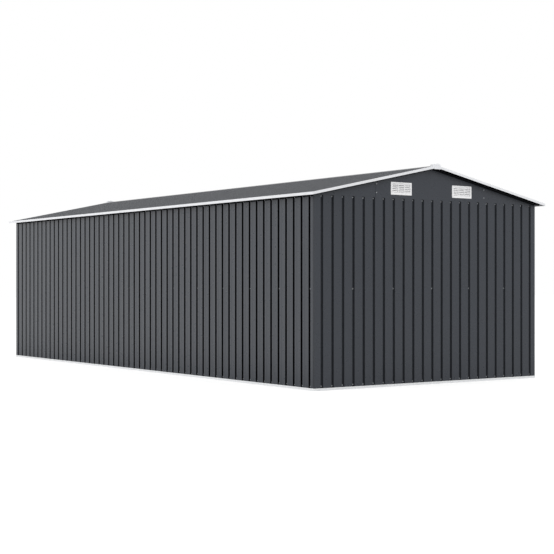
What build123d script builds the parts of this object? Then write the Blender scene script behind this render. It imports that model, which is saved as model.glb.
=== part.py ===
import os
from math import cos, radians, sin, tan

from build123d import *

os.makedirs("parts", exist_ok=True)

# Millimetres, +Z up, origin under the middle of the shed. The door end faces -Y, the rear end +Y.
# Rib pattern of the pressed wall and roof sheets: flat pans with narrow grooves between them.
rib_pitch = 105.0
groove_mouth = 26.0
groove_floor = 14.0
groove_depth = 12.0
sheet = 1.2
lap_play = 1.0
side_grooves = 54
end_grooves = 23
pitches_per_sheet = 4
side_margin = 0.6 * rib_pitch
end_margin_start = 74.0
end_margin_stop = 64.0

# Wall box, measured over the pans
wall_length = (side_grooves - 1) * rib_pitch + 2 * side_margin
wall_width = (end_grooves - 1) * rib_pitch + end_margin_start + end_margin_stop
wall_top = 1533.0

# Frame of folded channels behind the sheets
frame_sheet = 1.5
frame_face = groove_depth + 2 * sheet
channel_depth = 25.0
channel_height = 40.0
top_rail_height = 38.0
mid_rail_centre = 797.0
frame_gap = 2.0

# Base channels that the sheets stand in
base_lip = 20.0
base_depth = 36.0
base_inner_height = 30.0

# Roof: slope, apex of the sheet face and overhangs
roof_angle = 11.9
roof_apex = 1817.0
eave_overhang = 60.0
verge_overhang = 66.0
roof_run = wall_width / 2 + eave_overhang
roof_length = wall_length + 2 * verge_overhang
roof_grooves = 55
roof_margin = (roof_length - (roof_grooves - 1) * rib_pitch) / 2
roof_first_seam = 3
ridge_gap = 15.0
trim_flange = 15.0
verge_drop = 19.0
verge_start = 6.0
eave_drop = 20.5
ridge_cap_half = 90.0

# Caps over the two ends of the ridge
end_cap_half = 36.0
end_cap_top = 1833.0
end_cap_bottom = 1786.0
end_cap_sheet = 2.0
end_cap_reach = 50.0

# Gable sheets and their braces
gable_seam = 597.0
gable_lap = 8.0
gable_flange = 22.0
roof_clearance = 0.5
brace_width = 30.0
brace_depth = 15.0

# Vents: a moulded frame round three columns of louvres
vent_offset = 337.0
vent_width = 223.0
vent_height = 104.0
vent_bottom = 1562.0
vent_side_border = 15.0
vent_top_border = 11.0
vent_bottom_border = 20.0
vent_proud = 5.0
vent_inset = 10.0
vent_collar = 2.0
vent_clearance = 1.0
vent_corner_radius = 4.0
vent_edge_radius = 2.0
vent_columns = 3
vent_mullion = 6.0
louvre_count = 5
louvre_sheet = 1.6
louvre_front = -3.0
louvre_back = 3.5
louvre_play = 1.5
louvre_root = 1.0

# Doorway with a pair of sliding leaves, closed
front_corner_pitches = 2
front_grooves = 3
front_sheet_end = 6.0 * rib_pitch
jamb_flange = 20.0
jamb_depth = 30.0
jamb_play = 2.0
header_bottom = 1485.0
header_play = 0.5
track_depth = 44.0
track_inset = 45.0
track_bottom = 1495.0
sill_height = 14.0
leaf_overlap = 20.0
leaf_bottom = 4.0
leaf_top = 1505.0
leaf_face = -37.5
leaf_back = -10.0
leaf_stile = 28.0
leaf_sheet_face = -34.0
leaf_pitches = 5
leaf_gap = 1.0
handle_height = 800.0
handle_length = 150.0
handle_reach = 17.0
handle_radius = 5.0
handle_bend = 8.0
handle_inset = 60.0

# Roof frame
purlin_offset = 600.0
purlin_width = 40.0
ridge_beam_half = 45.0
ridge_beam_drop = 35.0
rafter_depth = 35.0
rafter_width = 25.0
rafter_start = 60.0
truss_places = (-wall_length / 4, 0.0, wall_length / 4)

slope = radians(roof_angle)
roof_skin = groove_depth + 2 * sheet

# Each wall is seen from outside: its left end, the direction to the right and its length.
WALLS = {
    "right": (Vector(wall_width / 2, -wall_length / 2), Vector(0, 1, 0), wall_length),
    "rear": (Vector(wall_width / 2, wall_length / 2), Vector(-1, 0, 0), wall_width),
    "left": (Vector(-wall_width / 2, wall_length / 2), Vector(0, -1, 0), wall_length),
    "front": (Vector(-wall_width / 2, -wall_length / 2), Vector(1, 0, 0), wall_width),
}
# Distance from each end of a wall to its nearest groove, left end first
MARGINS = {
    "right": (side_margin, side_margin),
    "rear": (end_margin_start, end_margin_stop),
    "left": (side_margin, side_margin),
    "front": (end_margin_start, end_margin_stop),
}
UP = Vector(0, 0, 1)


def wall_plan(wall, height):
    """Plane for plan views: x runs right along the wall, y into the shed."""
    start, right, _ = WALLS[wall]
    return Plane(origin=start + UP * height, x_dir=right, z_dir=UP)


def wall_face(wall):
    """Plane of the wall seen from outside: x runs right, y up, and extrusion goes outwards."""
    start, right, _ = WALLS[wall]
    return Plane(origin=start, x_dir=right, z_dir=right.cross(UP))


def wall_section(wall, along):
    """Plane across the wall: x runs into the shed, y up, and extrusion goes right."""
    start, right, _ = WALLS[wall]
    return Plane(origin=start + right * along, x_dir=UP.cross(right), z_dir=right)


def shed_section(place):
    """Plane across the shed: x runs to the right, y up, and extrusion goes towards the front."""
    return Plane(origin=(0, place, 0), x_dir=(1, 0, 0), z_dir=(0, -1, 0))


def roof_section(side, down):
    """Plane across the ribs of a slope, down it from the ridge: x along the shed, y into it."""
    fall = Vector(side * cos(slope), 0, -sin(slope))
    origin = Vector(0, side * roof_length / 2, roof_apex) + fall * down
    return Plane(origin=origin, x_dir=(0, -side, 0), z_dir=fall)


def slope_section(side):
    """Plane across the shed: x runs down the slope from the ridge, y into the shed."""
    fall = Vector(side * cos(slope), 0, -sin(slope))
    return Plane(origin=(0, 0, roof_apex), x_dir=fall, z_dir=(0, side, 0))


def roof_height(across, depth=0.0):
    """Height of a plane that lies depth below the face of the roof sheets."""
    return roof_apex - abs(across) * tan(slope) - depth / cos(slope)


def folded_outline(line, thickness):
    """Closed outline of a folded sheet. The line is walked with the metal on its left."""
    points = [Vector(*place) for place in line]
    sides = [(b - a).normalized().rotate(Axis.Z, 90) for a, b in zip(points, points[1:])]
    inner = [points[0] + sides[0] * thickness]
    for point, before, after in zip(points[1:], sides, sides[1:]):
        mitre = (before + after).normalized()
        inner.append(point + mitre * (thickness / mitre.dot(before)))
    inner.append(points[-1] + sides[-1] * thickness)
    return points + inner[::-1]


def folded_bar(plane, line, length, thickness=frame_sheet):
    """Extrude a folded profile along the normal of its plane."""
    with BuildSketch(plane) as profile:
        with BuildLine():
            Polyline(*folded_outline(line, thickness), close=True)
        make_face()
    extrude(profile.sketch, amount=length)


def ribbed_line(start, end, grooves, lap_start=True, lap_end=True):
    """Outer line of a ribbed sheet. A lap end lies under the first groove of the next sheet."""
    mouth, floor = groove_mouth / 2, groove_floor / 2
    line = [(start, 0)]
    if lap_start:
        line = [
            (start - floor + lap_play, groove_depth),
            (start + floor, groove_depth),
            (start + mouth, 0),
        ]
    for groove in grooves:
        line += [
            (groove - mouth, 0),
            (groove - floor, groove_depth),
            (groove + floor, groove_depth),
            (groove + mouth, 0),
        ]
    if not lap_end:
        return line + [(end, 0)]
    return line + [
        (end - mouth, 0),
        (end - floor, groove_depth + sheet),
        (end + floor, groove_depth + sheet),
    ]


def grooves_between(start, count):
    """Centres of the next grooves after a seam."""
    return [start + (index + 1) * rib_pitch for index in range(count)]


def channel(low, high, face, depth):
    """Channel that opens towards the inside of the shed, its web at the given face."""
    return [(face + depth, high), (face, high), (face, low), (face + depth, low)]


def finish(builder, name):
    """Label a finished piece and write it to its own file."""
    builder.part.label = name
    export_step(builder.part, f"parts/{name}.step")


# Base channels with mitred corners. The outer lip shows as a light strip under the sheets.
base_line = [
    (-frame_sheet, base_lip),
    (-frame_sheet, 0),
    (base_depth, 0),
    (base_depth, base_inner_height),
]
for wall, (start, right, length) in WALLS.items():
    inward = UP.cross(right)
    with BuildPart() as base_rail:
        folded_bar(wall_section(wall, -base_depth), base_line, length + 2 * base_depth)
        split(bisect_by=Plane(origin=start, z_dir=right - inward), keep=Keep.TOP)
        split(bisect_by=Plane(origin=start + right * length, z_dir=-right - inward), keep=Keep.TOP)
    finish(base_rail, f"base_rail_{wall}")

# Corner sheets: a standard sheet folded round the end of a wall into the next one. With each
# corner stands how many of the sheet's pitches lie before the fold.
CORNERS = (
    ("right", "rear", "rear_right", 0),
    ("rear", "left", "rear_left", 3),
    ("left", "front", "front_left", 1),
    ("front", "right", "front_right", 2),
)
for wall, next_wall, corner, before in CORNERS:
    length = WALLS[wall][2]
    after = pitches_per_sheet - 1 - before
    first_seam = -MARGINS[wall][1] - before * rib_pitch
    next_margin = MARGINS[next_wall][0]
    last_seam = next_margin + after * rib_pitch
    near_line = ribbed_line(first_seam, 0, grooves_between(first_seam, before), lap_end=False)
    far_grooves = grooves_between(next_margin - rib_pitch, after)
    far_line = ribbed_line(0, last_seam, far_grooves, lap_start=False)
    corner_line = [(length + along, depth) for along, depth in near_line]
    corner_line += [(length - depth, along) for along, depth in far_line[1:]]
    with BuildPart() as corner_panel:
        folded_bar(wall_plan(wall, frame_sheet), corner_line, wall_top - frame_sheet, sheet)
    finish(corner_panel, f"corner_panel_{corner}")

# Wall sheets between the corners. Neighbours lap in a groove, so odd and even sheets are apart.
SHEET_RUNS = {"right": (1, 13), "rear": (3, 4), "left": (0, 13)}
for wall, (skipped, sheet_count) in SHEET_RUNS.items():
    first_seam = MARGINS[wall][0] + skipped * rib_pitch
    for parity, phase in (("odd", 0), ("even", 1)):
        with BuildPart() as wall_panels:
            for number in range(phase, sheet_count, 2):
                seam = first_seam + number * pitches_per_sheet * rib_pitch
                grooves = grooves_between(seam, pitches_per_sheet - 1)
                line = ribbed_line(seam, seam + pitches_per_sheet * rib_pitch, grooves)
                folded_bar(wall_plan(wall, frame_sheet), line, wall_top - frame_sheet, sheet)
        finish(wall_panels, f"{wall}_wall_panels_{parity}")

# Front sheets beside the doorway
left_seam = end_margin_start + front_corner_pitches * rib_pitch
left_grooves = grooves_between(left_seam, front_grooves)
left_line = ribbed_line(left_seam, front_sheet_end, left_grooves, lap_end=False)
right_start = wall_width - front_sheet_end
right_seam = wall_width - end_margin_stop - front_corner_pitches * rib_pitch
right_grooves = grooves_between(right_seam - (front_grooves + 1) * rib_pitch, front_grooves)
right_line = ribbed_line(right_start, right_seam, right_grooves, lap_start=False)
with BuildPart() as front_wall_panels:
    for line in (left_line, right_line):
        folded_bar(wall_plan("front", frame_sheet), line, wall_top - frame_sheet, sheet)
finish(front_wall_panels, "front_wall_panels")

# Rails behind the sheets at mid height, where the middle row of screws goes in
side_reach = frame_face + frame_gap
end_reach = frame_face + channel_depth + frame_gap
mid_line = channel(
    mid_rail_centre - channel_height / 2,
    mid_rail_centre + channel_height / 2,
    frame_face,
    channel_depth,
)
front_reach = front_sheet_end - jamb_flange - frame_gap
with BuildPart() as mid_rails:
    for wall in ("right", "left"):
        folded_bar(wall_section(wall, side_reach), mid_line, wall_length - 2 * side_reach)
    folded_bar(wall_section("rear", end_reach), mid_line, wall_width - 2 * end_reach)
    folded_bar(wall_section("front", end_reach), mid_line, front_reach - end_reach)
    folded_bar(wall_section("front", wall_width - front_reach), mid_line, front_reach - end_reach)
finish(mid_rails, "mid_rails")

# Rails at the wall tops. Those of the long walls rise to carry the lower ends of the roof sheets.
rail_bottom = wall_top - top_rail_height
inner_edge = frame_face + channel_depth
side_top_line = [
    (inner_edge, roof_height(wall_width / 2 - inner_edge, roof_skin)),
    (frame_face, roof_height(wall_width / 2 - frame_face, roof_skin)),
    (frame_face, rail_bottom),
    (inner_edge, rail_bottom),
]
end_top_line = channel(rail_bottom, wall_top, frame_face, channel_depth)
top_reach = gable_flange + frame_gap
with BuildPart() as top_rails:
    for wall in ("right", "left"):
        folded_bar(wall_section(wall, top_reach), side_top_line, wall_length - 2 * top_reach)
    for wall in ("rear", "front"):
        folded_bar(wall_section(wall, end_reach), end_top_line, wall_width - 2 * end_reach)
finish(top_rails, "top_rails")

# Gables: a centre sheet with the vent holes laps over a wing sheet on each side.
centre_x = wall_width / 2
opening_width = vent_width - 2 * vent_side_border
opening_height = vent_height - vent_top_border - vent_bottom_border
opening_middle = vent_bottom + vent_bottom_border + opening_height / 2
collar_width = opening_width + 2 * vent_collar
collar_height = opening_height + 2 * vent_collar
gable_top = roof_skin + roof_clearance
wing_inner = gable_seam - gable_lap
for wall in ("rear", "front"):
    with BuildPart() as gable_centre:
        with BuildSketch(wall_face(wall).offset(-sheet)):
            with BuildLine():
                half = gable_seam + gable_lap
                Polyline(
                    (centre_x - half, wall_top),
                    (centre_x + half, wall_top),
                    (centre_x + half, roof_height(half, gable_top)),
                    (centre_x, roof_height(0, gable_top)),
                    (centre_x - half, roof_height(half, gable_top)),
                    close=True,
                )
            make_face()
            with Locations(
                (centre_x - vent_offset, opening_middle),
                (centre_x + vent_offset, opening_middle),
            ):
                Rectangle(
                    collar_width + 2 * vent_clearance,
                    collar_height + 2 * vent_clearance,
                    mode=Mode.SUBTRACT,
                )
        extrude(amount=sheet)
        flange_line = [(0, wall_top), (gable_flange, wall_top)]
        folded_bar(
            wall_section(wall, centre_x - wing_inner + frame_gap),
            flange_line,
            2 * (wing_inner - frame_gap),
            sheet,
        )
    finish(gable_centre, f"{wall}_gable_centre")

    with BuildPart() as gable_wings:
        for side in (-1, 1):
            with BuildSketch(wall_face(wall).offset(-2 * sheet)):
                with BuildLine():
                    Polyline(
                        (centre_x + side * wing_inner, wall_top),
                        (centre_x + side * centre_x, wall_top),
                        (centre_x + side * centre_x, roof_height(centre_x, gable_top)),
                        (centre_x + side * wing_inner, roof_height(wing_inner, gable_top)),
                        close=True,
                    )
                make_face()
            extrude(amount=sheet)
        wing_flange = [(sheet, wall_top), (gable_flange, wall_top)]
        for start in (0, centre_x + wing_inner):
            folded_bar(wall_section(wall, start), wing_flange, centre_x - wing_inner, sheet)
    finish(gable_wings, f"{wall}_gable_wings")

# Upright braces behind the gable seams
brace_start = wall_top + sheet
brace_stop = roof_height(gable_seam + brace_width, roof_skin + channel_depth) - frame_gap
with BuildPart() as gable_braces:
    for wall in ("rear", "front"):
        for side in (-1, 1):
            left = centre_x + side * gable_seam - brace_width / 2
            brace_line = [
                (left, 2 * sheet + brace_depth),
                (left, 2 * sheet),
                (left + brace_width, 2 * sheet),
                (left + brace_width, 2 * sheet + brace_depth),
            ]
            folded_bar(wall_plan(wall, brace_start), brace_line, brace_stop - brace_start)
finish(gable_braces, "gable_braces")

# Vents: a moulded frame, thin mullions and steep louvres that shed the rain outwards
column_width = (opening_width - (vent_columns - 1) * vent_mullion) / vent_columns
column_pitch = column_width + vent_mullion
louvre_pitch = opening_height / louvre_count
for wall in ("rear", "front"):
    for side, name in ((-1, "left"), (1, "right")):
        middle = centre_x + side * vent_offset
        first_column = middle - (vent_columns - 1) / 2 * column_pitch
        columns = [first_column + index * column_pitch for index in range(vent_columns)]
        with BuildPart() as vent:
            with BuildSketch(wall_face(wall)):
                with Locations((middle, vent_bottom + vent_height / 2)):
                    RectangleRounded(vent_width, vent_height, vent_corner_radius)
            extrude(amount=vent_proud)
            outward = Axis((0, 0, 0), wall_face(wall).z_dir)
            fillet(vent.faces().sort_by(outward)[-1].edges(), vent_edge_radius)
            with BuildSketch(wall_face(wall).offset(-vent_inset)):
                with Locations((middle, opening_middle)):
                    Rectangle(collar_width, collar_height)
            extrude(amount=vent_inset)
            with BuildSketch(wall_face(wall).offset(vent_proud)):
                with Locations([(column, opening_middle) for column in columns]):
                    Rectangle(column_width, opening_height)
            extrude(amount=-vent_proud - vent_inset, mode=Mode.SUBTRACT)
            for louvre in range(louvre_count):
                foot = opening_middle - opening_height / 2 + louvre * louvre_pitch
                louvre_line = [
                    (louvre_front, foot + louvre_play),
                    (louvre_back, foot + louvre_pitch - louvre_play),
                ]
                folded_bar(
                    wall_section(wall, middle - opening_width / 2 - louvre_root),
                    louvre_line,
                    opening_width + 2 * louvre_root,
                    louvre_sheet,
                )
        finish(vent, f"{wall}_vent_{name}")

# Doorway: jambs, header and the two tracks
with BuildPart() as door_jambs:
    face, back = -frame_sheet, jamb_depth
    for side in (-1, 1):
        edge = centre_x + side * (centre_x - front_sheet_end)
        hook = edge + side * jamb_flange
        web = edge - side * jamb_play
        jamb_line = [(hook, face), (web, face), (web, back), (hook, back)]
        folded_bar(
            wall_plan("front", base_lip),
            jamb_line[:: -side],
            header_bottom - base_lip - frame_gap,
        )
finish(door_jambs, "door_jambs")

with BuildPart() as door_header:
    folded_bar(
        wall_section("front", front_sheet_end + header_play),
        channel(header_bottom, wall_top, 0, frame_face),
        wall_width - 2 * (front_sheet_end + header_play),
    )
finish(door_header, "door_header")

top_track_line = [
    (0, track_bottom),
    (0, wall_top),
    (-track_depth, wall_top),
    (-track_depth, track_bottom),
]
sill_line = [
    (-track_depth, sill_height),
    (-track_depth, 0),
    (-frame_sheet, 0),
    (-frame_sheet, sill_height),
]
with BuildPart() as door_tracks:
    for line in (top_track_line, sill_line):
        folded_bar(wall_section("front", track_inset), line, wall_width - 2 * track_inset)
finish(door_tracks, "door_tracks")

# Door leaves: a ribbed sheet in a frame, with a bar across its back
leaf_sheet_back = leaf_sheet_face + groove_depth + sheet
leaf_width = centre_x - front_sheet_end + leaf_overlap - leaf_gap
leaf_height = leaf_top - leaf_bottom
for side, name in ((-1, "left"), (1, "right")):
    middle = centre_x + side * (leaf_gap + leaf_width / 2)
    inner_width = leaf_width - 2 * leaf_stile
    with BuildPart() as door_leaf:
        with BuildSketch(wall_face("front").offset(-leaf_back)):
            with Locations((middle, leaf_bottom + leaf_height / 2)):
                Rectangle(leaf_width, leaf_height)
                Rectangle(inner_width, leaf_height - 2 * leaf_stile, mode=Mode.SUBTRACT)
        extrude(amount=leaf_back - leaf_face)
        with BuildSketch(wall_face("front").offset(-leaf_back)):
            with Locations((middle, handle_height)):
                Rectangle(inner_width, leaf_stile)
        extrude(amount=leaf_back - leaf_sheet_back)
        pan_start = middle - inner_width / 2
        pan_margin = (inner_width - (leaf_pitches - 1) * rib_pitch) / 2
        grooves = [pan_start + pan_margin + index * rib_pitch for index in range(leaf_pitches)]
        leaf_line = ribbed_line(pan_start, pan_start + inner_width, grooves, False, False)
        leaf_line = [(along, depth + leaf_sheet_face) for along, depth in leaf_line]
        folded_bar(
            wall_plan("front", leaf_bottom + leaf_stile),
            leaf_line,
            leaf_height - 2 * leaf_stile,
            sheet,
        )
    finish(door_leaf, f"door_leaf_{name}")

with BuildPart() as door_handles:
    for side in (-1, 1):
        along = centre_x + side * handle_inset
        with BuildLine(wall_section("front", along)):
            FilletPolyline(
                (leaf_face, handle_height - handle_length / 2),
                (leaf_face - handle_reach, handle_height - handle_length / 2),
                (leaf_face - handle_reach, handle_height + handle_length / 2),
                (leaf_face, handle_height + handle_length / 2),
                radius=handle_bend,
            )
        foot = wall_face("front").offset(-leaf_face)
        with BuildSketch(foot):
            with Locations((along, handle_height - handle_length / 2)):
                Circle(handle_radius)
        sweep()
finish(door_handles, "door_handles")

# Roof sheets, ribbed from ridge to eave, in odd and even sheets like the walls
slope_length = roof_run / cos(slope)
seams = [
    roof_margin + index * rib_pitch
    for index in range(roof_first_seam, roof_grooves, pitches_per_sheet)
]
edges = [0.0] + seams + [roof_length]
for side, name in ((1, "right"), (-1, "left")):
    for parity, phase in (("odd", 0), ("even", 1)):
        with BuildPart() as roof_panels:
            for number in range(phase, len(edges) - 1, 2):
                first, last = edges[number], edges[number + 1]
                lap_start = number > 0
                lap_end = number < len(edges) - 2
                groove_start = first if lap_start else roof_margin - rib_pitch
                grooves = grooves_between(groove_start, pitches_per_sheet - 1)
                line = ribbed_line(first, last, grooves, lap_start, lap_end)
                folded_bar(roof_section(side, ridge_gap), line, slope_length - ridge_gap, sheet)
        finish(roof_panels, f"roof_panels_{name}_{parity}")

# Ridge cap, and a cap over each end of it
cap_top = -sheet
cap_line = [
    (ridge_cap_half, roof_height(ridge_cap_half, cap_top)),
    (0, roof_height(0, cap_top)),
    (-ridge_cap_half, roof_height(ridge_cap_half, cap_top)),
]
cap_length = roof_length - 2 * (trim_flange + frame_gap)
with BuildPart() as ridge_cap:
    folded_bar(shed_section(cap_length / 2), cap_line, cap_length, sheet)
finish(ridge_cap, "ridge_cap")

end_cap_shoulder = end_cap_top - end_cap_half * tan(slope)
saddle_foot = roof_height(end_cap_half - end_cap_sheet, cap_top)
saddle_line = [
    (end_cap_half, saddle_foot),
    (end_cap_half, end_cap_shoulder),
    (0, end_cap_top),
    (-end_cap_half, end_cap_shoulder),
    (-end_cap_half, saddle_foot),
]
trim_face = roof_length / 2 + sheet
with BuildPart() as ridge_end_caps:
    for end in (-1, 1):
        outside = end * (trim_face + end_cap_sheet)
        saddle_start = max(outside, outside - end * end_cap_reach)
        folded_bar(shed_section(saddle_start), saddle_line, end_cap_reach, end_cap_sheet)
        with BuildSketch(shed_section(outside)):
            with BuildLine():
                Polyline(
                    (-end_cap_half, end_cap_bottom),
                    (end_cap_half, end_cap_bottom),
                    (end_cap_half, end_cap_shoulder),
                    (0, end_cap_top),
                    (-end_cap_half, end_cap_shoulder),
                    close=True,
                )
            make_face()
        extrude(amount=end * end_cap_sheet)
finish(ridge_end_caps, "ridge_end_caps")

# Eave trims along the lower roof edges, mitred into the verge trims
roof_corner = roof_run + sheet
flange_end = roof_run - trim_flange
eave_line = [
    (roof_corner, roof_height(roof_corner, cap_top) - eave_drop),
    (roof_corner, roof_height(roof_corner, cap_top)),
    (flange_end, roof_height(flange_end, cap_top)),
]
for side, name in ((1, "right"), (-1, "left")):
    with BuildPart() as eave_trim:
        folded_bar(
            Plane(origin=(0, side * trim_face, 0), x_dir=(side, 0, 0), z_dir=(0, -side, 0)),
            eave_line,
            2 * trim_face,
            sheet,
        )
        for end in (-1, 1):
            corner = Vector(side * roof_corner, end * trim_face, 0)
            split(bisect_by=Plane(origin=corner, z_dir=(side, -end, 0)), keep=Keep.TOP)
    finish(eave_trim, f"eave_trim_{name}")

# Verge trims up both roof edges of each end
verge_line = [(-sheet, verge_drop), (-sheet, -sheet), (trim_flange, -sheet)]
far_verge_line = [(roof_length - along, depth) for along, depth in verge_line[::-1]]
for end, name in ((1, "rear"), (-1, "front")):
    with BuildPart() as verge_trims:
        for side in (1, -1):
            line = verge_line if side == end else far_verge_line
            folded_bar(roof_section(side, verge_start), line, slope_length, sheet)
        for side in (1, -1):
            corner = Vector(side * roof_corner, end * trim_face, 0)
            split(bisect_by=Plane(origin=corner, z_dir=(-side, end, 0)), keep=Keep.TOP)
    finish(verge_trims, f"{name}_verge_trims")

# Roof frame: ridge beam, purlins under the sheets, rafters and ties
frame_length = wall_length - 2 * (2 * sheet + frame_gap)
beam_foot = roof_height(ridge_beam_half, roof_skin) - ridge_beam_drop
beam_line = [
    (ridge_beam_half, beam_foot),
    (ridge_beam_half, roof_height(ridge_beam_half, roof_skin)),
    (0, roof_height(0, roof_skin)),
    (-ridge_beam_half, roof_height(ridge_beam_half, roof_skin)),
    (-ridge_beam_half, beam_foot),
]
with BuildPart() as ridge_beam:
    folded_bar(shed_section(frame_length / 2), beam_line, frame_length)
finish(ridge_beam, "ridge_beam")

purlin_start = purlin_offset / cos(slope)
purlin_line = [
    (purlin_start, roof_skin + channel_depth),
    (purlin_start, roof_skin),
    (purlin_start + purlin_width, roof_skin),
    (purlin_start + purlin_width, roof_skin + channel_depth),
]
with BuildPart() as purlins:
    for side in (1, -1):
        folded_bar(slope_section(side).offset(-frame_length / 2), purlin_line, frame_length)
finish(purlins, "purlins")

rafter_end = (wall_width / 2 - inner_edge - frame_gap) / cos(slope)
rafter_top = roof_skin + channel_depth
rafter_foot = rafter_top + rafter_depth
with BuildPart() as rafters:
    for place in truss_places:
        for side in (1, -1):
            along = roof_length / 2 - side * place
            rafter_line = [
                (along + rafter_width, rafter_top),
                (along, rafter_top),
                (along, rafter_foot),
                (along + rafter_width, rafter_foot),
            ]
            rafter_length = rafter_end - rafter_start
            folded_bar(roof_section(side, rafter_start), rafter_line[::-1], rafter_length)
finish(rafters, "rafters")

tie_half = wall_width / 2 - inner_edge - frame_gap
with BuildPart() as roof_ties:
    for place in truss_places:
        tie_place = place + rafter_width + frame_gap
        tie_line = [
            (tie_place, rail_bottom),
            (tie_place + rafter_width, rail_bottom),
            (tie_place + rafter_width, rail_bottom + rafter_depth),
            (tie_place, rail_bottom + rafter_depth),
        ]
        folded_bar(
            Plane(origin=(-tie_half, 0, 0), x_dir=(0, 1, 0), z_dir=(1, 0, 0)),
            tie_line,
            2 * tie_half,
        )
finish(roof_ties, "roof_ties")
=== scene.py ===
# %% [markdown]
# # A long metal storage shed
# The solids of the shed come in as a fixed frame: ribbed sheets, channels, trims, vents and doors,
# each an object of its own at its real place. This lesson gives them their finishes, adds the small
# fasteners that hold the sheets, closes the ridge caps and sets up the studio. Nothing from the
# frame is moved.

# %% Load the frame
import math

import bmesh
import bpy
from mathutils import Matrix, Vector


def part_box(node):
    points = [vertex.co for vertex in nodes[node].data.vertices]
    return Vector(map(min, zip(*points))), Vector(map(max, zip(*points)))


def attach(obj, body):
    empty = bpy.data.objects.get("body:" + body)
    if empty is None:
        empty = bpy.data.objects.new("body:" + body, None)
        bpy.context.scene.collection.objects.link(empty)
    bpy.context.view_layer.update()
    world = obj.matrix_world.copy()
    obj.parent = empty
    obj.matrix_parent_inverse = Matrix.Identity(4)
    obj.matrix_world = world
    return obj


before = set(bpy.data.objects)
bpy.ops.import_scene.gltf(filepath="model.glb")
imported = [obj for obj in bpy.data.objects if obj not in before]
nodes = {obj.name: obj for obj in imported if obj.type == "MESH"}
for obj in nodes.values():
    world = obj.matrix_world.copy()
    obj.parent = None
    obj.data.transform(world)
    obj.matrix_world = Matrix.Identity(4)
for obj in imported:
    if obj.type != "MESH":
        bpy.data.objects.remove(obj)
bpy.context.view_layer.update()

# %% [markdown]
# ## The sheet pattern
# The walls are pressed sheets: flat pans 105 mm apart with narrow grooves between them, and four
# grooves to a sheet. The screws could be placed by eye and the grooves shaded by hand, but then the
# two would drift apart. Here the same few numbers place the screws and tell the finishes where a
# groove is, worked out once from the wall planes of the frame.

# %% Measure the walls
RIB_PITCH = 0.105
SIDE_MARGIN = 0.063
END_MARGINS = 0.074, 0.064
GROOVE_DEPTH = 0.012
SHEET_GROOVES = 4
half_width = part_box("right_wall_panels_odd")[1].x
half_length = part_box("rear_wall_panels_odd")[1].y
wall_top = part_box("rear_wall_panels_odd")[1].z
side_grooves = round((2 * half_length - 2 * SIDE_MARGIN) / RIB_PITCH) + 1
end_grooves = round((2 * half_width - sum(END_MARGINS)) / RIB_PITCH) + 1
print("wall box", round(2 * half_width, 3), "x", round(2 * half_length, 3), "m,",
      side_grooves, "grooves on a side,", end_grooves, "on an end")

# %% [markdown]
# ## Writing shaders as sums
# A finish is a small formula over the surface: a groove mask, some noise, a mix of two colours.
# Drawn as nodes, such a formula is hard to read. Here a thin class wraps one socket, and its
# operators add the Math nodes, so `1 - mask` is written as it is said.

# %% A socket with arithmetic
class Signal:
    """A value that changes over a surface: one output socket of a recipe."""

    def __init__(self, recipe, socket):
        self.recipe = recipe
        self.socket = socket

    def math(self, operation, *values):
        inputs = dict(enumerate(values))
        return self.recipe.node("ShaderNodeMath", {"operation": operation}, inputs)

    def output(self, name):
        """Another output of the node that this signal comes from."""
        return Signal(self.recipe, self.socket.node.outputs[name])

    def __add__(self, other):
        return self.math("ADD", self, other)

    def __radd__(self, other):
        return self.math("ADD", other, self)

    def __sub__(self, other):
        return self.math("SUBTRACT", self, other)

    def __rsub__(self, other):
        return self.math("SUBTRACT", other, self)

    def __mul__(self, other):
        return self.math("MULTIPLY", self, other)

    def __rmul__(self, other):
        return self.math("MULTIPLY", other, self)

    def __truediv__(self, other):
        return self.math("DIVIDE", self, other)

    def __rtruediv__(self, other):
        return self.math("DIVIDE", other, self)

    def __abs__(self):
        return self.math("ABSOLUTE", self)

    def highest(self, other):
        return self.math("MAXIMUM", self, other)

    def lowest(self, other):
        return self.math("MINIMUM", self, other)

    def fraction(self):
        return self.math("FRACT", self)


print("a signal has", sum(callable(way) for way in vars(Signal).values()), "methods")

# %% [markdown]
# ## One method for every other node
# A recipe is the node tree of one material, or of the world. All nodes but the sums come from its
# `node` method: type, settings, inputs. Settings go first, because a node's sockets can depend on
# them. Two helpers cover what every recipe needs: a vector taken apart, and a soft step, which
# turns a measure into a mask.

# %% A recipe of nodes
class Recipe:
    """The node tree of one material, or of the world."""

    def __init__(self, tree):
        self.tree = tree

    def feed(self, socket, value):
        """Link a signal to a socket, or write a plain value on it."""
        if isinstance(value, Signal):
            self.tree.links.new(value.socket, socket)
        else:
            socket.default_value = value

    def node(self, kind, settings=None, inputs=None, output=0):
        made = self.tree.nodes.new(kind)
        for name, value in (settings or {}).items():
            setattr(made, name, value)
        for name, value in (inputs or {}).items():
            self.feed(made.inputs[name], value)
        return Signal(self, made.outputs[output])

    def axes(self, vector):
        """The x, y and z signals of a vector."""
        x = self.node("ShaderNodeSeparateXYZ", inputs={"Vector": vector})
        return x, x.output("Y"), x.output("Z")

    def step(self, value, low, high):
        """0 below low, 1 above high, smooth between."""
        return self.node("ShaderNodeMapRange", {"interpolation_type": "SMOOTHSTEP"},
                         {"Value": value, "From Min": low, "From Max": high})


print("a recipe has", sum(callable(way) for way in vars(Recipe).values()), "methods")

# %% [markdown]
# ## Patterns over the shed
# A pattern needs a place to start from. A texture could be wrapped on each piece, but it would jump
# at every seam. Object coordinates run on over all the pieces, because they share one origin, and
# they are metres here, so a scale is a real size on the shed. Noise over them makes grain, patches
# and waves.

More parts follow.
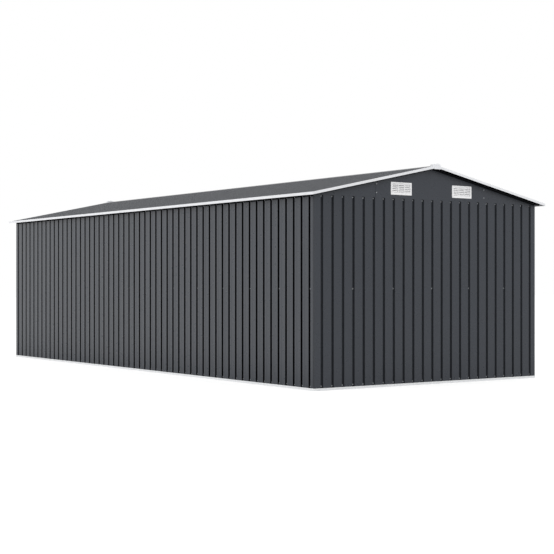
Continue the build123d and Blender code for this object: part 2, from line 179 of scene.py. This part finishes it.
# %% Patterns measured in metres
class Pattern(Recipe):
    """A recipe that knows where a point of the shed is."""

    def point(self):
        """Where a point of the shed is, as one vector in metres."""
        return self.node("ShaderNodeTexCoord", output="Object")

    def place(self):
        """The same point as x, y and z signals."""
        return self.axes(self.point())

    def normal_z(self):
        """1 on faces that look up, -1 on undersides."""
        return self.axes(self.node("ShaderNodeNewGeometry", output="Normal"))[2]

    def stretched(self, scale):
        """The same point with each axis scaled, for noise that runs along the sheet."""
        return self.node("ShaderNodeVectorMath", {"operation": "MULTIPLY"},
                         {0: self.point(), 1: scale})

    def noise(self, scale, detail, along=None):
        return self.node("ShaderNodeTexNoise", inputs={
            "Vector": along or self.point(), "Scale": scale, "Detail": detail})


print("a pattern adds", sum(callable(way) for way in vars(Pattern).values()), "methods")

# %% [markdown]
# ## A finish
# Paint, plastic and zinc could each have a shader of their own, but the Principled shader that
# comes with a new material covers them all. What differs is what feeds it: colours mixed by a
# pattern, and a bump that tilts the light without adding faces. A Mix node keeps a set of sockets
# for every kind of data, so the ones for colours are picked by number.

# %% A material with its colours and relief
MIX_FACTOR, MIX_FIRST, MIX_SECOND = 0, 6, 7
MIX_COLOUR = 2


class Finish(Pattern):
    """A material with one Principled shader."""

    def __init__(self, name, roughness=0.5, metallic=0.0, specular=0.5):
        self.material = bpy.data.materials.new(name)
        self.material.use_nodes = True
        super().__init__(self.material.node_tree)
        self.shader = self.tree.nodes["Principled BSDF"]
        self.set("Roughness", roughness)
        self.set("Metallic", metallic)
        self.set("Specular IOR Level", specular)

    def set(self, name, value):
        self.feed(self.shader.inputs[name], value)

    def mix(self, factor, first, second):
        """The first colour where the factor is 0, the second where it is 1."""
        return self.node("ShaderNodeMix", {"data_type": "RGBA"},
                         {MIX_FACTOR: factor, MIX_FIRST: first, MIX_SECOND: second},
                         output=MIX_COLOUR)

    def bump(self, height, distance, strength, over=None):
        """A relief of the given distance in metres, laid over another one if there is one."""
        inputs = {"Height": height, "Distance": distance, "Strength": strength}
        if over:
            inputs["Normal"] = over
        return self.node("ShaderNodeBump", inputs=inputs)


print("a finish adds", sum(callable(way) for way in vars(Finish).values()), "methods")

# %% [markdown]
# Colours are easiest to write as on a screen, 0 to 255, but a shader wants linear light. The
# conversion is the standard one, worked out in Python, since it never changes over a surface.

# %% Screen colours as linear light
def colour(red, green, blue):
    """An sRGB colour, 0 to 255, as the linear value that a shader takes."""
    parts = [part / 255 for part in (red, green, blue)]
    linear = [p / 12.92 if p <= 0.04045 else ((p + 0.055) / 1.055) ** 2.4 for p in parts]
    return (*linear, 1)


ANTHRACITE = colour(56, 60, 67)
print("anthracite in linear light", [round(part, 4) for part in ANTHRACITE[:3]])

# %% [markdown]
# ## Painted sheet steel
# The cladding is coil-coated steel: a satin anthracite paint on thin sheet. An image texture would
# blur close up and need unwrapping, so this is a formula over the whole shed. Four things make it
# look like sheet and not like card. Shade is painted on the flanks of the grooves and on all
# undersides: the colour is darker there, duller, and metallic, which takes away the white gloss,
# so the painted shade stays dark. The pans are never quite flat, so a long shallow wave runs up
# them and bends the reflections. The paint is faintly mottled, and it has a fine grain.

# %% The paint
MOTTLE = colour(59, 63, 71)
# Painted shade: the colour of groove flanks, undersides and the other shaded places.
PAINTED_SHADE = colour(9, 10, 13)
MOTTLE_BAND = 0.35, 0.75
MOTTLE_SHARE = 0.35
FLANK_START = 0.0001, 0.0006
FLANK_STOP = 0.0114, 0.0124
UNDERSIDE = 0.3, 0.8
SATIN = 0.25
SATIN_SPREAD = 0.06
SHADE_ROUGHNESS = 0.45
WAVE_SCALES = 9.0, 9.0, 0.8


def sheet_shade(finish, depth_of):
    """Where shade is painted: 1 on undersides and on the flanks of grooves, 0 on the open sheet."""
    shade = finish.step(-1 * finish.normal_z(), *UNDERSIDE)
    if depth_of:
        depth = depth_of(finish)
        flank = finish.step(depth, *FLANK_START) * (1 - finish.step(depth, *FLANK_STOP))
        shade = flank.highest(shade)
    return shade


def painted_sheet(name, depth_of=None, more_shade=None, roughness=SATIN):
    """depth_of measures the grooves, more_shade changes the shade afterwards."""
    finish = Finish(name)
    shade = sheet_shade(finish, depth_of)
    if more_shade:
        shade = more_shade(finish, shade)
    mottle = finish.step(finish.noise(scale=3.0, detail=3.0), *MOTTLE_BAND)
    paint = finish.mix(MOTTLE_SHARE * mottle, ANTHRACITE, MOTTLE)
    # Painted shade: where the shade mask is 1, the colour goes dark and metallic.
    finish.set("Base Color", finish.mix(shade, paint, PAINTED_SHADE))
    finish.set("Metallic", shade)
    satin = roughness + SATIN_SPREAD * finish.noise(scale=18.0, detail=2.0)
    finish.set("Roughness", satin + SHADE_ROUGHNESS * shade)
    long_wave = finish.noise(scale=1.0, detail=1.0, along=finish.stretched(WAVE_SCALES))
    wavy = finish.bump(long_wave, distance=0.004, strength=0.6)
    grain = finish.noise(scale=900.0, detail=2.0)
    finish.set("Normal", finish.bump(grain, distance=0.00005, strength=0.5, over=wavy))
    return finish.material


plain_paint = painted_sheet("painted_plain_sheet")
print("plain paint nodes", len(plain_paint.node_tree.nodes))

# %% [markdown]
# ## Wall sheets
# The depth of a groove is measured from the nearest wall plane, so one finish fits all four walls.
# Three kinds of painted shade are added to the plain recipe. The grooves of the end walls get a
# milder painted shade. Each pan of the long walls gets a soft stripe of painted shade, as from a
# shallow crease, which has no relief of its own. And a painted shadow of the eave darkens the top
# centimetre of the long walls.

# %% Wall paint
END_FACE = 0.016, 0.014
END_GROOVE_SHADE = 0.42
CREASE_PHASE = 0.39
CREASE_HALF = 0.12
CREASE_SHADE = 0.13
EAVE_SHADE = 0.016, 0.010


def groove_depth_signal(finish):
    """Depth below the nearest wall plane, in metres."""
    x, y, _ = finish.place()
    return (half_width - abs(x)).lowest(half_length - abs(y))


def painted_crease_shade(finish, y):
    """A soft stripe of painted shade at the same place in every pan of a long wall, for a crease.
    """
    pitches = (y + half_length - SIDE_MARGIN) / RIB_PITCH
    from_crease = abs(pitches.fraction() - CREASE_PHASE)
    return CREASE_SHADE * (1 - finish.step(from_crease, 0.0, CREASE_HALF))


def wall_shade(finish, shade):
    """Painted shade: milder in end-wall grooves, a crease stripe in side pans, the eave's shadow.
    """
    _, y, z = finish.place()
    on_end = finish.step(abs(y), *(half_length - inset for inset in END_FACE))
    # Painted shadow of the eave along the top of the long walls.
    painted_eave_shade = finish.step(z, *(wall_top - drop for drop in EAVE_SHADE))
    side_shade = shade.highest(painted_crease_shade(finish, y)).highest(painted_eave_shade)
    # Milder painted shade in the grooves of the end walls.
    end_shade = END_GROOVE_SHADE * finish.step(half_length - abs(y), *FLANK_START)
    return side_shade * (1 - on_end) + end_shade * on_end


wall_paint = painted_sheet("painted_wall_sheet", groove_depth_signal, wall_shade)
print("wall paint nodes", len(wall_paint.node_tree.nodes))

# %% [markdown]
# ## Roof sheets
# The roof has the same sheet on a slope. Its depth is measured square to the slope, from the ridge
# line down, so the same recipe serves with another ruler. A roof takes more weather than a wall,
# and a rougher paint keeps its glancing reflections down.

# %% Roof paint
ROOF_APEX = 1.817
ROOF_SLOPE = math.radians(11.9)
WEATHERED = 0.45
roof_fall = math.tan(ROOF_SLOPE)


def roof_depth_signal(finish):
    """Depth below the roof plane, square to the slope, in metres."""
    x, _, z = finish.place()
    return (ROOF_APEX - roof_fall * abs(x) - z) * math.cos(ROOF_SLOPE)


roof_paint = painted_sheet("painted_roof_sheet", roof_depth_signal, roughness=WEATHERED)
print("roof paint nodes", len(roof_paint.node_tree.nodes), "fall", round(roof_fall, 4))

# %% [markdown]
# ## Door leaves and gables
# The door leaves stand in front of the wall, so their sheet has a plane of its own. The gables are
# smooth, but the roof sheets reach out over them, and a strip of painted shadow runs along the
# slope below them. The ruler of the roof finds that strip.

# %% Door and gable paint
LEAF_PLANE = 0.034
VERGE_STRIP = 0.028, 0.033
VERGE_SHADE = 0.85


def leaf_depth_signal(finish):
    """Depth behind the front of the door leaves, in metres."""
    _, y, _ = finish.place()
    return y + half_length + LEAF_PLANE


def verge_shade(finish, shade):
    """A strip of painted shadow along the top of a gable, under the roof sheets."""
    below_strip = finish.step(roof_depth_signal(finish), *VERGE_STRIP)
    # Painted shadow of the roof sheets on the top of the gable.
    return shade.highest(VERGE_SHADE * (1 - below_strip))


leaf_paint = painted_sheet("painted_door_sheet", leaf_depth_signal)
gable_paint = painted_sheet("painted_gable_sheet", more_shade=verge_shade)
print("paints", [m.name for m in (plain_paint, wall_paint, roof_paint, leaf_paint, gable_paint)])

# %% [markdown]
# ## Light trims
# The eave and verge trims are folded steel in an off-white paint. A flat white would look like
# paper, so the colour stays under white, faint patches of grime break it up, and the gloss varies
# a little. The bump is the orange-peel of sprayed paint, a few hundredths of a millimetre.

# %% Off-white trims
TRIM_WHITE = colour(236, 237, 240)
TRIM_GRIME = colour(208, 208, 206)
GRIME_BAND = 0.5, 0.8
GRIME_SHARE = 0.35
TRIM_SATIN = 0.38
TRIM_SPREAD = 0.12


def off_white_trim():
    finish = Finish("off_white_trim", specular=0.4)
    grime = finish.step(finish.noise(scale=7.0, detail=4.0), *GRIME_BAND)
    finish.set("Base Color", finish.mix(GRIME_SHARE * grime, TRIM_WHITE, TRIM_GRIME))
    finish.set("Roughness", TRIM_SATIN + TRIM_SPREAD * finish.noise(scale=25.0, detail=3.0))
    peel = finish.noise(scale=1200.0, detail=2.0)
    finish.set("Normal", finish.bump(peel, distance=0.00004, strength=0.5))
    return finish.material


trim_paint = off_white_trim()
print("trim paint nodes", len(trim_paint.node_tree.nodes))

# %% [markdown]
# ## Moulded vents
# The vents are moulded in a bright white plastic, duller than the painted trims. A mould leaves a
# very fine eggshell texture. Between the louvres dust settles and less light comes in, so the
# colour turns grey from the wall plane inwards: partly dust, partly painted shade. A second
# material could do that on the louvres alone, but the change is gradual, and one mask on the
# depth follows it.

# %% Vent plastic
VENT_WHITE = colour(249, 249, 250)
VENT_DUST_AND_SHADE = colour(208, 209, 211)
DUST_AND_SHADE_DEPTHS = -0.001, 0.006
DUST_AND_SHADE_SHARE = 0.8
VENT_MATT = 0.48
VENT_SPREAD = 0.10


def vent_plastic():
    finish = Finish("moulded_vent_plastic", specular=0.4)
    _, y, _ = finish.place()
    # Dust and painted shade: the colour greys from the wall plane inwards.
    dust_and_shade = finish.step(half_length - abs(y), *DUST_AND_SHADE_DEPTHS)
    finish.set("Base Color", finish.mix(DUST_AND_SHADE_SHARE * dust_and_shade, VENT_WHITE, VENT_DUST_AND_SHADE))
    finish.set("Roughness", VENT_MATT + VENT_SPREAD * finish.noise(scale=60.0, detail=2.0))
    eggshell = finish.noise(scale=2500.0, detail=1.0)
    finish.set("Normal", finish.bump(eggshell, distance=0.00003, strength=0.6))
    return finish.material


vent_white = vent_plastic()
print("vent plastic nodes", len(vent_white.node_tree.nodes))

# %% [markdown]
# ## Zinc
# The base channels, the frame behind the sheets and the screws are galvanised. Hot zinc freezes in
# flat crystals, the spangle, a centimetre or so across, each a slightly different grey. Noise has
# no such edges, but a Voronoi cell per crystal does. The base channels are new and bright, nearly
# white, and the frame and the screws are a duller grey.

# %% Galvanised steel
CRYSTAL_SCALE = 90.0
CRYSTAL_SHARE = 0.5
CLOUD_SHARE = 0.4
ZINC_SPREAD = 0.12


def zinc(name, light, dark, metallic, roughness):
    finish = Finish(name, metallic=metallic)
    crystal = finish.node("ShaderNodeTexVoronoi", {"feature": "F1"},
                          {"Vector": finish.point(), "Scale": CRYSTAL_SCALE}, output="Color")
    tone = finish.node("ShaderNodeSeparateColor", inputs={"Color": crystal})
    age = CRYSTAL_SHARE * tone + CLOUD_SHARE * finish.noise(scale=5.0, detail=4.0)
    finish.set("Base Color", finish.mix(age, light, dark))
    finish.set("Roughness", roughness + ZINC_SPREAD * tone)
    frost = finish.noise(scale=400.0, detail=3.0)
    finish.set("Normal", finish.bump(frost, distance=0.00006, strength=0.4))
    return finish.material


base_zinc = zinc("light_base_zinc", colour(248, 249, 250), colour(234, 236, 238),
                 metallic=0.05, roughness=0.45)
frame_zinc = zinc("frame_zinc", colour(196, 199, 202), colour(150, 154, 158),
                  metallic=0.7, roughness=0.38)
screw_zinc = zinc("screw_zinc", colour(188, 190, 193), colour(146, 149, 153),
                  metallic=0.55, roughness=0.38)
print("zincs", [m.name for m in (base_zinc, frame_zinc, screw_zinc)])

# %% [markdown]
# ## Door handles
# The bar handles are moulded in a nearly black plastic. Hands polish and scratch it, so patches of
# scuff are lighter and rougher than the rest. One mask drives both, because a scuff changes both.

# %% Handle plastic
HANDLE_BLACK = colour(34, 35, 37)
HANDLE_SCUFF = colour(62, 63, 65)
SCUFF_BAND = 0.55, 0.8
SCUFF_SHARE = 0.4
HANDLE_SATIN = 0.45
SCUFF_ROUGHNESS = 0.15


def handle_plastic():
    finish = Finish("dark_handle_plastic", specular=0.4)
    scuff = finish.step(finish.noise(scale=40.0, detail=4.0), *SCUFF_BAND)
    finish.set("Base Color", finish.mix(SCUFF_SHARE * scuff, HANDLE_BLACK, HANDLE_SCUFF))
    finish.set("Roughness", HANDLE_SATIN + SCUFF_ROUGHNESS * scuff)
    grain = finish.noise(scale=1500.0, detail=1.0)
    finish.set("Normal", finish.bump(grain, distance=0.00005, strength=0.6))
    return finish.material


handle_dark = handle_plastic()
print("handle plastic nodes", len(handle_dark.node_tree.nodes))

# %% [markdown]
# ## Dress the nodes
# Every node could be given its finish by hand, but forty-six lines hide a slip. Each gets it by
# its name instead. The first rule that fits wins, so the special names come before the general
# ones, and what no rule names belongs to the frame.

# %% Assign the finishes
FINISH_RULES = (
    ("base_rail", base_zinc),
    ("vent", vent_white),
    ("trim", trim_paint),
    ("end_caps", trim_paint),
    ("door_handles", handle_dark),
    ("door_tracks", base_zinc),
    ("door_leaf", leaf_paint),
    ("door_", plain_paint),
    ("roof_panels", roof_paint),
    ("ridge_cap", plain_paint),
    ("gable_centre", gable_paint),
    ("gable_wings", gable_paint),
    ("panel", wall_paint),
)
for name, node in nodes.items():
    chosen = next((finish for part, finish in FINISH_RULES if part in name), frame_zinc)
    node.data.materials.clear()
    node.data.materials.append(chosen)
print("dressed", len(nodes), "nodes")

# %% [markdown]
# ## Screws
# Hexagon washer-head screws hold the sheets. Modelling one and instancing it would give hundreds of
# objects, so all heads on a wall share one mesh. A head is two low discs: a round washer and a
# hexagon, each with a shoulder and a slightly smaller top that catches the light.

# %% One screw head
HEAD_RADIUS = 0.0042
HEAD_HEIGHT = 0.0038
HEAD_SIDES = 6
WASHER_RADIUS = 0.0062
WASHER_HEIGHT = 0.0012
WASHER_SIDES = 14
SHOULDER = 0.25
TOP_SHARE = 0.85


def add_disc(mesh, placing, radius, foot, top, sides):
    """A low prism along local Z with a slightly smaller top, joined to a mesh."""
    shoulder = top - (top - foot) * SHOULDER
    rings = []
    for level, size in ((foot, radius), (shoulder, radius), (top, radius * TOP_SHARE)):
        ring = []
        for index in range(sides):
            angle = 2 * math.pi * index / sides
            point = Vector((size * math.cos(angle), size * math.sin(angle), level))
            ring.append(mesh.verts.new(placing @ point))
        rings.append(ring)
    for lower, upper in zip(rings, rings[1:]):
        for index in range(sides):
            after = (index + 1) % sides
            mesh.faces.new((lower[index], lower[after], upper[after], upper[index]))
    mesh.faces.new(rings[-1])
    mesh.faces.new(rings[0][::-1])


def add_screw(mesh, place, outward):
    placing = Matrix.Translation(place) @ outward.to_track_quat("Z", "Y").to_matrix().to_4x4()
    add_disc(mesh, placing, WASHER_RADIUS, 0.0, WASHER_HEIGHT, WASHER_SIDES)
    add_disc(mesh, placing, HEAD_RADIUS, WASHER_HEIGHT, WASHER_HEIGHT + HEAD_HEIGHT, HEAD_SIDES)


print("screw head stands", round(1000 * (WASHER_HEIGHT + HEAD_HEIGHT), 1), "mm off the sheet")

# %% [markdown]
# A piece that is new in the scene has to be told where it belongs. Everything on the shed is
# fixed, so each piece rides on its root, and its material slot holds its finish.

# %% A piece of the shed
def make_piece(name, mesh, material):
    """Turn a bmesh into an object that rides on the shed."""
    data = bpy.data.meshes.new(name)
    mesh.to_mesh(data)
    mesh.free()
    data.materials.append(material)
    piece = bpy.data.objects.new(name, data)
    bpy.context.scene.collection.objects.link(piece)
    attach(piece, "root")
    print(name, len(data.polygons), "faces")


# %% [markdown]
# ## Wall screws
# The screws sit in the grooves: a row near the base, a row at the wall top, and at mid height one
# where two sheets lap, every fourth groove. The places come from the sheet pattern. A wall is
# described by where its left end is, seen from outside, and which way runs right; the way out
# follows from that. The front wall has the doorway, and its tracks cover the top row.

# %% The four walls
UP = Vector((0, 0, 1))
WALLS = {
    "right": (Vector((half_width, -half_length, 0)), Vector((0, 1, 0)), side_grooves),
    "rear": (Vector((half_width, half_length, 0)), Vector((-1, 0, 0)), end_grooves),
    "left": (Vector((-half_width, half_length, 0)), Vector((0, -1, 0)), side_grooves),
    "front": (Vector((-half_width, -half_length, 0)), Vector((1, 0, 0)), end_grooves),
}
FIRST_GROOVE = {"right": SIDE_MARGIN, "rear": END_MARGINS[0],
                "left": SIDE_MARGIN, "front": END_MARGINS[0]}
SEAMS = {"right": range(1, side_grooves, SHEET_GROOVES),
         "rear": range(3, end_grooves, SHEET_GROOVES),
         "left": range(0, side_grooves, SHEET_GROOVES),
         "front": (2, end_grooves - 3)}
print("seams", {wall: len(seams) for wall, seams in SEAMS.items()})

# %% [markdown]
# With the walls described, one loop visits every groove and sets a screw at each height that the
# groove has. Copies by modifier could do a plain row, but not one that skips the doorway and
# changes at every seam.

# %% Rows of wall screws
DOOR_SIDE_GROOVES = 6
BASE_ROW = 0.034
MID_ROW = 0.797
TOP_ROW = wall_top - 0.009
screw_count = 0
for wall, (start, right, count) in WALLS.items():
    outward = right.cross(UP)
    mesh = bmesh.new()
    for index in range(count):
        if wall == "front" and DOOR_SIDE_GROOVES <= index < count - DOOR_SIDE_GROOVES:
            continue
        along = FIRST_GROOVE[wall] + index * RIB_PITCH
        foot = start + right * along - outward * GROOVE_DEPTH
        rows = [BASE_ROW] if wall == "front" else [BASE_ROW, TOP_ROW]
        if index in SEAMS[wall]:
            rows.append(MID_ROW)
        for height in rows:
            add_screw(mesh, foot + Vector((0, 0, height)), outward)
            screw_count += 1
    make_piece(f"{wall}_wall_screws", mesh, screw_zinc)
print("wall screws", screw_count)

# %% [markdown]
# ## Gable screws
# A gable is one centre sheet and two wings. Two screws, one above the other, hold each seam to the
# brace behind it. The gable is smooth, so these heads sit on the wall plane itself.

# %% Screw pairs at the gable seams
GABLE_SEAM = 0.597
GABLE_ROWS = 1.573, 1.645
for wall in ("rear", "front"):
    start, right, _ = WALLS[wall]
    outward = right.cross(UP)
    mesh = bmesh.new()
    for side in (-1, 1):
        for height in GABLE_ROWS:
            place = start + right * (half_width + side * GABLE_SEAM) + Vector((0, 0, height))
            add_screw(mesh, place, outward)
    make_piece(f"{wall}_gable_screws", mesh, screw_zinc)

# %% [markdown]
# ## Roof screws
# The roof sheets are screwed where two of them lap: near the ridge, on the purlins and above the
# wall rails. The same head is used, turned square to the slope.

# %% Rows of roof screws
VERGE_OVERHANG = 0.066
ROOF_PITCHES = 54
FIRST_LAP = 3
ROOF_MARGIN = (2 * (half_length + VERGE_OVERHANG) - ROOF_PITCHES * RIB_PITCH) / 2
ROOF_ROWS = 0.075, 0.620, 1.205
for side, name in ((1, "right"), (-1, "left")):
    mesh = bmesh.new()
    up = Vector((side * math.sin(ROOF_SLOPE), 0, math.cos(ROOF_SLOPE)))
    for index in range(FIRST_LAP, ROOF_PITCHES + 1, SHEET_GROOVES):
        along = side * (half_length + VERGE_OVERHANG - ROOF_MARGIN - index * RIB_PITCH)
        for row in ROOF_ROWS:
            flat = Vector((side * row, along, ROOF_APEX - row * roof_fall))
            add_screw(mesh, flat - up * GROOVE_DEPTH, up)
    make_piece(f"roof_screws_{name}", mesh, screw_zinc)

# %% [markdown]
# ## Closed ridge caps
# Each end of the ridge has a small pressed cap that sits astride it. A pressed cap is closed all
# round, so its inner end gets a thin plate. A box would cut through the roof, so the plate is an
# outline that follows the ridge below and the cap above, given a thickness.

# %% The outline of a plate
CAP_SHEET = 0.002
CAP_REACH = 0.050
PLATE_INSET = 0.0005
cap_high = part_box("ridge_end_caps")[1]
plate_half = cap_high.x - CAP_SHEET
plate_top = cap_high.z - CAP_SHEET
edge_drop = plate_half * roof_fall
plate_outline = [(-plate_half, ROOF_APEX - edge_drop), (0.0, ROOF_APEX),
                 (plate_half, ROOF_APEX - edge_drop), (plate_half, plate_top - edge_drop),
                 (0.0, plate_top), (-plate_half, plate_top - edge_drop)]
print("plate", round(2 * plate_half, 3), "m wide,", round(plate_top - ROOF_APEX, 3), "m high")

# %% [markdown]
# The outline becomes a plate by setting it down twice, a sheet's thickness apart, and joining the
# two with a face along each edge.

# %% Plates that close the caps
mesh = bmesh.new()
for end in (-1, 1):
    inner = cap_high.y - CAP_SHEET - CAP_REACH + PLATE_INSET
    near, far = ([mesh.verts.new((x, end * depth, z)) for x, z in plate_outline]
                 for depth in (inner, inner + CAP_SHEET))
    mesh.faces.new(near)
    mesh.faces.new(far[::-1])
    for index in range(len(near)):
        after = (index + 1) % len(near)
        mesh.faces.new((near[index], near[after], far[after], far[index]))
bmesh.ops.recalc_face_normals(mesh, faces=mesh.faces)
make_piece("ridge_cap_plates", mesh, trim_paint)

# %% [markdown]
# ## Studio ground
# The shed stands on a wide white ground, a hair below the base channels so that the two never
# share a plane. It is a plain square, since nothing on it is looked at.

# %% Ground
GROUND_REACH = 60.0
GROUND_DROP = 0.0005
ground_mesh = bpy.data.meshes.new("ground")
ground_mesh.from_pydata(
    [(-GROUND_REACH, -GROUND_REACH, 0), (GROUND_REACH, -GROUND_REACH, 0),
     (GROUND_REACH, GROUND_REACH, 0), (-GROUND_REACH, GROUND_REACH, 0)],
    [], [(0, 1, 2, 3)])
ground = bpy.data.objects.new("ground", ground_mesh)
ground.location.z = -GROUND_DROP
bpy.context.scene.collection.objects.link(ground)
print("ground", 2 * GROUND_REACH, "m square")

# %% [markdown]
# A white ground could be had with more light, but that would bleach the shed. Its own colour is a
# light grey that keeps the shadow, and a glow makes up the rest, only for rays that come straight
# from the camera and for those that a glossy sheet mirrors on the bright side. Under the shed
# there is no glow, so no light shows through the joints.

# %% White ground that keeps a shadow
GROUND_GREY = 0.62
SEEN_GLOW = 0.6
MIRRORED_GLOW = 0.4
BRIGHT_SIDE = 1.0, 4.0
WALL_INSETS = 0.03, 0.02


def ground_material():
    finish = Finish("white_ground", roughness=0.9, specular=0.1)
    finish.set("Base Color", (GROUND_GREY, GROUND_GREY, GROUND_GREY, 1))
    x, y, _ = finish.place()
    past_side = finish.step(abs(x), *(half_width - inset for inset in WALL_INSETS))
    past_end = finish.step(abs(y), *(half_length - inset for inset in WALL_INSETS))
    seen = finish.node("ShaderNodeLightPath", output="Is Camera Ray")
    mirrored = seen.output("Is Glossy Ray") * finish.step(x, *BRIGHT_SIDE)
    strength = (SEEN_GLOW * seen + MIRRORED_GLOW * mirrored) * past_side.highest(past_end)
    glow = finish.node("ShaderNodeEmission", inputs={"Color": (1, 1, 1, 1), "Strength": strength})
    shaded = Signal(finish, finish.shader.outputs["BSDF"])
    total = finish.node("ShaderNodeAddShader", inputs={0: shaded, 1: glow})
    finish.feed(finish.tree.nodes["Material Output"].inputs["Surface"], total)
    return finish.material


ground.data.materials.append(ground_material())
print("ground glow", SEEN_GLOW, "seen,", MIRRORED_GLOW, "mirrored")

# %% [markdown]
# ## The sky
# The world is a white studio. To the camera it is plain white. To matt surfaces it gives an even
# fill. Glossy surfaces mirror it, and a white room all round would flatten the satin paint, so
# they see it fade towards one side, which is where the shed's darker reflections come from.

# %% World
FILL = 0.8
DIM_SIDE = 0.62
FADE = -0.4, 0.4
world = bpy.data.worlds.new("white_studio")
bpy.context.scene.world = world
world.use_nodes = True
sky = Recipe(world.node_tree)
background = world.node_tree.nodes["Background"]
sky.feed(background.inputs["Color"], (1, 1, 1, 1))
east, _, _ = sky.axes(sky.node("ShaderNodeTexCoord", output="Generated"))
mirrored_sky = DIM_SIDE + (1 - DIM_SIDE) * sky.step(east, *FADE)
seen = sky.node("ShaderNodeLightPath", output="Is Camera Ray")
glossy = seen.output("Is Glossy Ray")
unseen_sky = mirrored_sky * glossy + FILL * (1 - glossy)
sky.feed(background.inputs["Strength"], seen + unseen_sky * (1 - seen))
print("world nodes", len(world.node_tree.nodes))

# %% [markdown]
# ## Lamps
# Two wide soft lamps model the shape: a stronger one for the long side, a weaker one for the
# gable. A small lamp would throw hard shadows, which the white studio hasn't got. They are hidden
# from reflections, because a bright square in the satin paint of the roof would give them away.

# %% Two soft lamps
def area_lamp(name, place, target, size, power):
    lamp = bpy.data.lights.new(name, "AREA")
    lamp.shape = "RECTANGLE"
    lamp.size, lamp.size_y = size
    lamp.energy = power
    holder = bpy.data.objects.new(name, lamp)
    holder.visible_glossy = False
    holder.location = place
    holder.rotation_euler = (Vector(target) - Vector(place)).to_track_quat("-Z", "Y").to_euler()
    bpy.context.scene.collection.objects.link(holder)
    print(name, power, "W,", size[0], "x", size[1], "m")


area_lamp("side_lamp", place=(11.0, -1.0, 7.0), target=(1.0, 0.0, 0.8), size=(9.0, 5.0), power=500)
area_lamp("end_lamp", place=(-4.0, 12.0, 7.0), target=(0.0, 2.0, 0.8), size=(6.0, 4.0), power=340)

# %% [markdown]
# ## Camera
# The camera's place was solved from the photo: the grooves of two walls at right angles give the
# focal length, the heading and the distance. It looks level, 0.84 m above the ground, and a small
# vertical shift puts the horizon where it was. A tilt would do that too, but it would make the
# upright corners lean.

# %% Camera
PICTURE = 554.0
SENSOR = 36.0
FOCAL_PIXELS = 1268.7
HORIZON_PIXEL = 283.47
HEADING = 0.6133
CORNER_RIGHT = 0.29023
CORNER_AHEAD = 9.87237
EYE_HEIGHT = 0.8389
FAR_CLIP = 200.0
ahead = Vector((-math.sin(HEADING), -math.cos(HEADING), 0))
rightward = Vector((-math.cos(HEADING), math.sin(HEADING), 0))
near_corner = Vector((half_width, half_length, 0))
camera_data = bpy.data.cameras.new("camera")
camera_data.sensor_width = SENSOR
camera_data.lens = SENSOR * FOCAL_PIXELS / PICTURE
camera_data.shift_y = (HORIZON_PIXEL - PICTURE / 2) / PICTURE
camera_data.clip_end = FAR_CLIP
camera = bpy.data.objects.new("camera", camera_data)
camera.location = (near_corner - rightward * CORNER_RIGHT - ahead * CORNER_AHEAD
                   + Vector((0, 0, EYE_HEIGHT)))
camera.rotation_euler = ahead.to_track_quat("-Z", "Y").to_euler()
bpy.context.scene.collection.objects.link(camera)
bpy.context.scene.camera = camera
bpy.context.scene.view_settings.view_transform = "Standard"
print("camera at", [round(v, 3) for v in camera.location], "lens", round(camera_data.lens, 2))

# %% [markdown]
